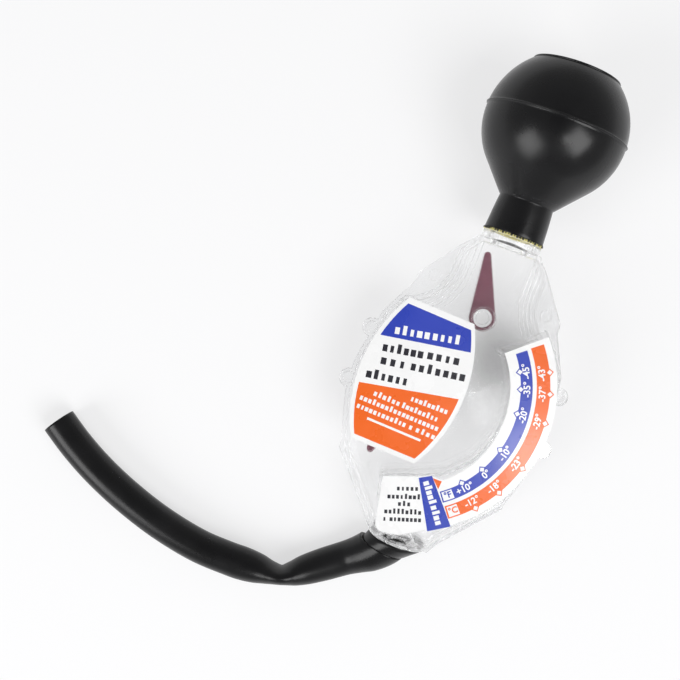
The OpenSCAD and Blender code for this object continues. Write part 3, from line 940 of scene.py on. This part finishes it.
def front_area(inset, right, left, count=14):
    """Outline of an area on the barrel-shaped front label, from its lowest and highest point at each side."""
    cos, sin = math.cos(FRONT_TURN), math.sin(FRONT_TURN)
    outline = []
    for sign, (low, high) in ((1, right), (-1, left)):
        heights = [high + (low - high) * i / count for i in range(count + 1)][::sign]
        for v in heights:
            u = sign * (FRONT_HALF - inset - FRONT_BOW + math.sqrt(FRONT_BOW**2 - v**2))
            outline.append((FRONT_X + u * cos - v * sin, FRONT_Y + u * sin + v * cos))
    return outline


def strip(start, end, width):
    """Outline of a straight strip between two points."""
    a, b = Vector(start), Vector(end)
    side = (b - a).orthogonal().normalized() * width / 2
    return [a - side, b - side, b + side, a + side]


def ink_set(context):
    """The inks of both labels, made once."""
    settings = context.scene.hydrometer_print
    return {
        name: bpy.data.materials.get(name + " ink") or print_ink(name + " ink", getattr(settings, name))
        for name in ("white", "blue", "orange", "dark")
    }


class HYDROMETER_OT_front_label(bpy.types.Operator):
    """Front label: blue head, white middle and orange foot, with blocks in place of words"""

    bl_idname = "hydrometer.front_label"
    bl_label = "Front Label"

    def execute(self, context):
        inks = ink_set(context)
        dress("front_label", inks["white"])
        low, high = FRONT_TOP - SUNK, FRONT_TOP + INK
        head = front_area(1.6, right=(18.3, 26.1), left=(11.5, 26.3))
        foot = front_area(1.7, right=(-26.7, 0.5), left=(-26.7, -7.9))
        prisms("front_blue", [head], low, high, inks["blue"])
        prisms("front_orange", [foot], low, high, inks["orange"])
        blocks("front_head", HEAD_ROWS, high, inks["white"], height=3.5)
        blocks("front_words", WORD_ROWS, FRONT_TOP, inks["dark"], height=3.6, seed=3)
        blocks("front_lines", FINE_ROWS, high, inks["white"], height=2.2, seed=5)
        prisms("front_rule", [strip(*RULE, RULE_WIDTH)], high - INK, high + INK, inks["white"])
        return {"FINISHED"}


class HYDROMETER_OT_scale_label(bpy.types.Operator):
    """Scale label: two bands with their marks, numbers and unit boxes"""

    bl_idname = "hydrometer.scale_label"
    bl_label = "Scale Label"

    def execute(self, context):
        inks = ink_set(context)
        dress("scale_label", inks["white"])
        low, high = SCALE_TOP - SUNK, SCALE_TOP + INK
        prisms("scale_blue", [sector(*BLUE_BAND)], low, high, inks["blue"])
        prisms("scale_bar", [SCALE_BAR], low, high + INK, inks["blue"])
        prisms("scale_orange", [sector(*ORANGE_BAND), SCALE_CORNER], low, high, inks["orange"])
        self.diamonds("blue_marks", FAHRENHEIT, BLUE_BAND[0], inks["blue"], inks["white"])
        self.diamonds("orange_marks", CELSIUS, ORANGE_BAND[1], inks["orange"], inks["white"])
        self.numbers(context, inks)
        self.units(inks)
        blocks("corner_lines", CORNER_ROWS, SCALE_TOP, inks["dark"], height=2, seed=8)
        blocks("bar_lines", BAR_ROWS, SCALE_TOP + 2 * INK, inks["white"], height=2.9, spacing=0.62, seed=11)
        return {"FINISHED"}

    def diamonds(self, name, marks, radius, edge, fill):
        """Diamond marks with a coloured edge and a white middle."""
        spots = [(*polar(radius, angle), 0) for angle, _ in marks]
        turns = [math.radians(angle) for angle, _ in marks]
        tree = grow_tree("scale diamonds", {"Half Width": 1.3, "Thickness": 0.04}, diamonds)
        placement = LAY @ Matrix.Translation((0, 0, SCALE_TOP))
        for part, size, layers, finish in (("edge", 1.55, 2, edge), ("middle", 1.0, 3, fill)):
            values = {"Half Width": size, "Thickness": 2 * layers * INK}
            grown(name + "_" + part, tree, source_mesh(name, spots, turns), values, finish, placement)

    def numbers(self, context, inks):
        """Numbers that run along both bands."""
        size = context.scene.hydrometer_print.number_height / mm * TEXT_SIZE
        texts = []
        for marks, radius in ((FAHRENHEIT, BLUE_NUMBERS), (CELSIUS, ORANGE_NUMBERS)):
            for angle, text in marks:
                texts.append((text, polar(radius, angle), math.radians(angle + 90), size))
        lettering("scale_numbers", texts, SCALE_TOP + 2 * INK, inks["white"])

    def units(self, inks):
        """White boxes with the unit of each band."""
        half_side = 2.05
        boxes = []
        for radius, half in (BLUE_UNIT, ORANGE_UNIT):
            across = math.degrees(half_side / radius)
            boxes.append(sector(radius - half, radius + half, UNIT_ANGLE + across, UNIT_ANGLE - across, 4))
        prisms("unit_boxes", boxes, SCALE_TOP, SCALE_TOP + 2 * INK, inks["white"])
        turn = math.radians(UNIT_ANGLE + 90)
        for ink, text, (radius, _) in (("blue", "°F", BLUE_UNIT), ("orange", "°C", ORANGE_UNIT)):
            texts = [(text, polar(radius, UNIT_ANGLE), turn, UNIT_SIZE)]
            lettering("unit_" + ink, texts, SCALE_TOP + 3 * INK, inks[ink])


class HYDROMETER_OT_stage(bpy.types.Operator):
    """Floor, camera and light"""

    bl_idname = "hydrometer.stage"
    bl_label = "Stage"

    def execute(self, context):
        settings = context.scene.hydrometer_stage
        scene = context.scene
        scene.view_settings.view_transform = "Standard"
        mesh = bpy.data.meshes.new("floor")
        square = [(x * FLOOR_HALF, y * FLOOR_HALF, 0) for x, y in ((-1, -1), (1, -1), (1, 1), (-1, 1))]
        mesh.from_pydata(square, [], [(0, 1, 2, 3)])
        mesh.materials.append(self.pale_floor(settings))
        floor = bpy.data.objects.new("floor", mesh)
        scene.collection.objects.link(floor)
        floor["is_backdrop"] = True
        camera = bpy.data.cameras.new("camera")
        camera.lens = settings.lens
        camera.sensor_width = 36
        camera.clip_start = 0.01
        eye = bpy.data.objects.new("camera", camera)
        eye.location = settings.camera_place
        eye.rotation_euler = (0, 0, settings.camera_roll)
        scene.collection.objects.link(eye)
        scene.camera = eye
        world = bpy.data.worlds.new("sky")
        world.use_nodes = True
        self.sky(world.node_tree, settings)
        scene.world = world
        for name, toward in LAMPS.items():
            place = VIEW_MIDDLE + Vector(toward) * LAMP_REACH
            self.lamp(scene, name, place, VIEW_MIDDLE, settings.lamp_size, settings.lamp)
        shine = LAY @ Vector((*polar(*GLARE_SPOT), SCALE_TOP))
        seen = (eye.location - shine).normalized()
        back = 2 * seen.dot(OUT) * OUT - seen
        self.lamp(scene, "glare lamp", shine + back, shine, GLARE_SIZE, settings.glare)
        return {"FINISHED"}

    def sky(self, tree, settings):
        """White light from all round, weaker overhead, and plain white where it is seen."""
        coords = add(tree, "ShaderNodeTexCoord")
        parts = add(tree, "ShaderNodeSeparateXYZ", {"Vector": coords.outputs["Generated"]})
        values = {"Value": parts.outputs["Z"], "To Min": settings.sky_side, "To Max": settings.sky_top}
        fade = add(tree, "ShaderNodeMapRange", values)
        path = add(tree, "ShaderNodeLightPath").outputs
        seen = maths(tree, "MAXIMUM", path["Is Camera Ray"], path["Is Transmission Ray"])
        strength = add(tree, "ShaderNodeMix", {"Factor": seen, "A": fade.outputs["Result"], "B": 1})
        background = tree.nodes["Background"]
        background.inputs["Color"].default_value = (1, 1, 1, 1)
        tree.links.new(strength.outputs["Result"], background.inputs["Strength"])

    def pale_floor(self, settings):
        """Matte floor that keeps its shadows, lifted towards plain white where it is seen."""
        made, tree, shader = material("pale floor", settings.floor_colour)
        shader.inputs["Roughness"].default_value = 0.9
        shader.inputs["Specular IOR Level"].default_value = 0.1
        plain = add(tree, "ShaderNodeEmission", {"Color": (0.97, 0.97, 0.975, 1)})
        path = add(tree, "ShaderNodeLightPath").outputs
        seen = path["Is Camera Ray"]
        for ray in ("Is Glossy Ray", "Is Transmission Ray"):
            seen = maths(tree, "MAXIMUM", seen, path[ray])
        share = maths(tree, "MULTIPLY", seen, settings.floor_lift)
        blend_shaders(tree, share, shader, plain)
        return made

    def lamp(self, scene, name, place, aim, size, power):
        """Square soft lamp that looks at a point."""
        light = bpy.data.lights.new(name, "AREA")
        light.size = size
        light.energy = power
        lamp = bpy.data.objects.new(name, light)
        lamp.location = place
        lamp.rotation_euler = (aim - place).to_track_quat("-Z", "Y").to_euler()
        scene.collection.objects.link(lamp)


class HYDROMETER_PT_panel(bpy.types.Panel):
    """Lists the steps and their settings"""

    bl_label = "Hydrometer"
    bl_idname = "HYDROMETER_PT_panel"
    bl_space_type = "VIEW_3D"
    bl_region_type = "UI"
    bl_category = "Hydrometer"

    def draw(self, context):
        for operator in OPERATORS:
            self.layout.operator(operator.bl_idname)
        for name in SETTINGS:
            group = getattr(context.scene, name)
            box = self.layout.box()
            for key in group.__annotations__:
                box.prop(group, key)


OPERATORS = (
    HYDROMETER_OT_stage,
    HYDROMETER_OT_hose,
    HYDROMETER_OT_bulb,
    HYDROMETER_OT_housing,
    HYDROMETER_OT_needles,
    HYDROMETER_OT_front_label,
    HYDROMETER_OT_scale_label,
)
SETTINGS = {
    "hydrometer_rubber": RubberSettings,
    "hydrometer_print": PrintSettings,
    "hydrometer_clear": ClearSettings,
    "hydrometer_stage": StageSettings,
}


def register():
    for name, group in SETTINGS.items():
        bpy.utils.register_class(group)
        setattr(bpy.types.Scene, name, PointerProperty(type=group))
    for operator in OPERATORS:
        bpy.utils.register_class(operator)
    bpy.utils.register_class(HYDROMETER_PT_panel)


def unregister():
    bpy.utils.unregister_class(HYDROMETER_PT_panel)
    for operator in reversed(OPERATORS):
        bpy.utils.unregister_class(operator)
    for name, group in SETTINGS.items():
        delattr(bpy.types.Scene, name)
        bpy.utils.unregister_class(group)


def corners():
    """Lowest and highest corner of the whole object, as plain lists."""
    low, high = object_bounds()
    return [list(low), list(high)]


def main():
    """Runs every step in order."""
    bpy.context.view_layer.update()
    register()
    for operator in OPERATORS:
        getattr(bpy.ops.hydrometer, operator.bl_idname.split(".")[1])()


if __name__ == "__main__":
    main()
